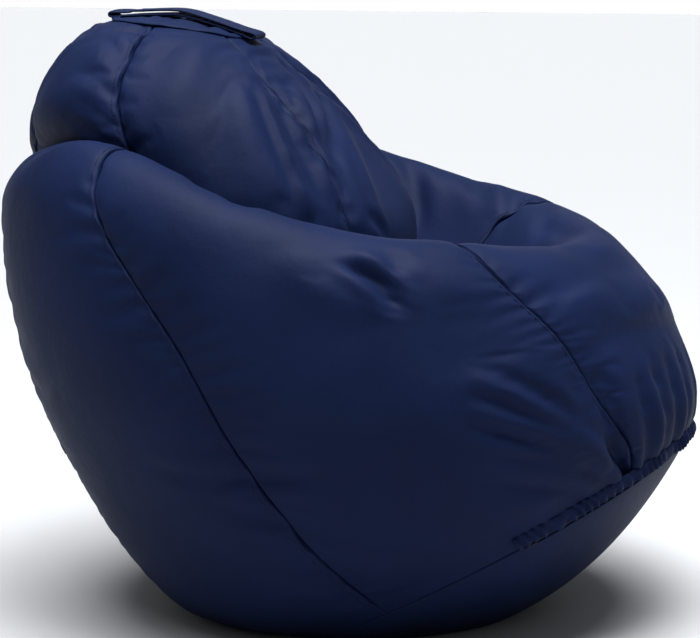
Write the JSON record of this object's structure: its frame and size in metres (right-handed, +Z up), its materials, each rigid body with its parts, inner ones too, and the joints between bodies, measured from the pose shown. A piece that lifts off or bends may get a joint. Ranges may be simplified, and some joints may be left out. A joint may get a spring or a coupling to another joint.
{
  "type": "bean bag chair",
  "caption": "Pear-shaped bean bag chair set as a low armchair: gored cover with zipped base, gathered front edge, carry loop, and an inner liner bag filled with beads.",
  "frame": {"origin": "on the floor under the middle of the chair's outer box", "axes": "+Z up, -Y the way a sitter faces, +X towards the sitter's left arm"},
  "size_m": [0.88, 0.9502, 0.8311],
  "materials": {
    "cover_fabric": "navy coated polyester Oxford weave, soft sheen",
    "strap_fabric": "folded navy coated fabric strap, edge stitched",
    "zipper_tape": "woven polyester zipper tape, matt",
    "zipper_coil": "nylon coil, satin",
    "zipper_metal": "dark enamelled zinc, satin",
    "liner_fabric": "white spun polypropylene liner, matt",
    "polystyrene_beads": "white expanded polystyrene beads, matt"
  },
  "bodies": {
    "cover": {"front_panel": "cover_fabric", "front_left_panel": "cover_fabric", "front_right_panel": "cover_fabric", "back_left_panel": "cover_fabric", "back_right_panel": "cover_fabric", "back_panel": "cover_fabric", "base_panel": "cover_fabric", "top_cap": "cover_fabric", "gathering_band": "cover_fabric", "zipper_tape_upper": "zipper_tape", "zipper_tape_lower": "zipper_tape", "zipper_teeth_upper": "zipper_coil", "zipper_teeth_lower": "zipper_coil", "zipper_top_stop_upper": "zipper_metal", "zipper_top_stop_lower": "zipper_metal", "zipper_bottom_stop": "zipper_metal", "liner_base": "liner_fabric", "liner_body": "liner_fabric", "liner_zipper_tape_front": "liner_fabric", "liner_zipper_tape_back": "liner_fabric", "liner_zipper_teeth_front": "zipper_coil", "liner_zipper_teeth_back": "zipper_coil", "liner_zipper_stop_right": "zipper_metal", "liner_zipper_stop_left": "zipper_metal", "bead_fill": "polystyrene_beads"},
    "slider": {"zipper_slider": "zipper_metal"},
    "liner_slider": {"liner_zipper_slider": "zipper_metal"},
    "handle": {"carry_handle": "strap_fabric"}
  },
  "joints": [
    {"name": "zipper_run", "type": "hinge", "parent": "cover", "child": "slider", "pos_m": [0, -0.19509, 0.09639], "axis": [0, 0.4818, 0.8763], "range_deg": [0, 128.6]},
    {"name": "liner_zipper_run", "type": "slide", "parent": "cover", "child": "liner_slider", "axis": [1, 0, 0], "range_m": [0, 0.1854]},
    {"name": "handle_lift", "type": "hinge", "parent": "cover", "child": "handle", "pos_m": [0, 0.33459, 0.80873], "axis": [-1, 0, 0], "range_deg": [0, 150]}
  ]
}
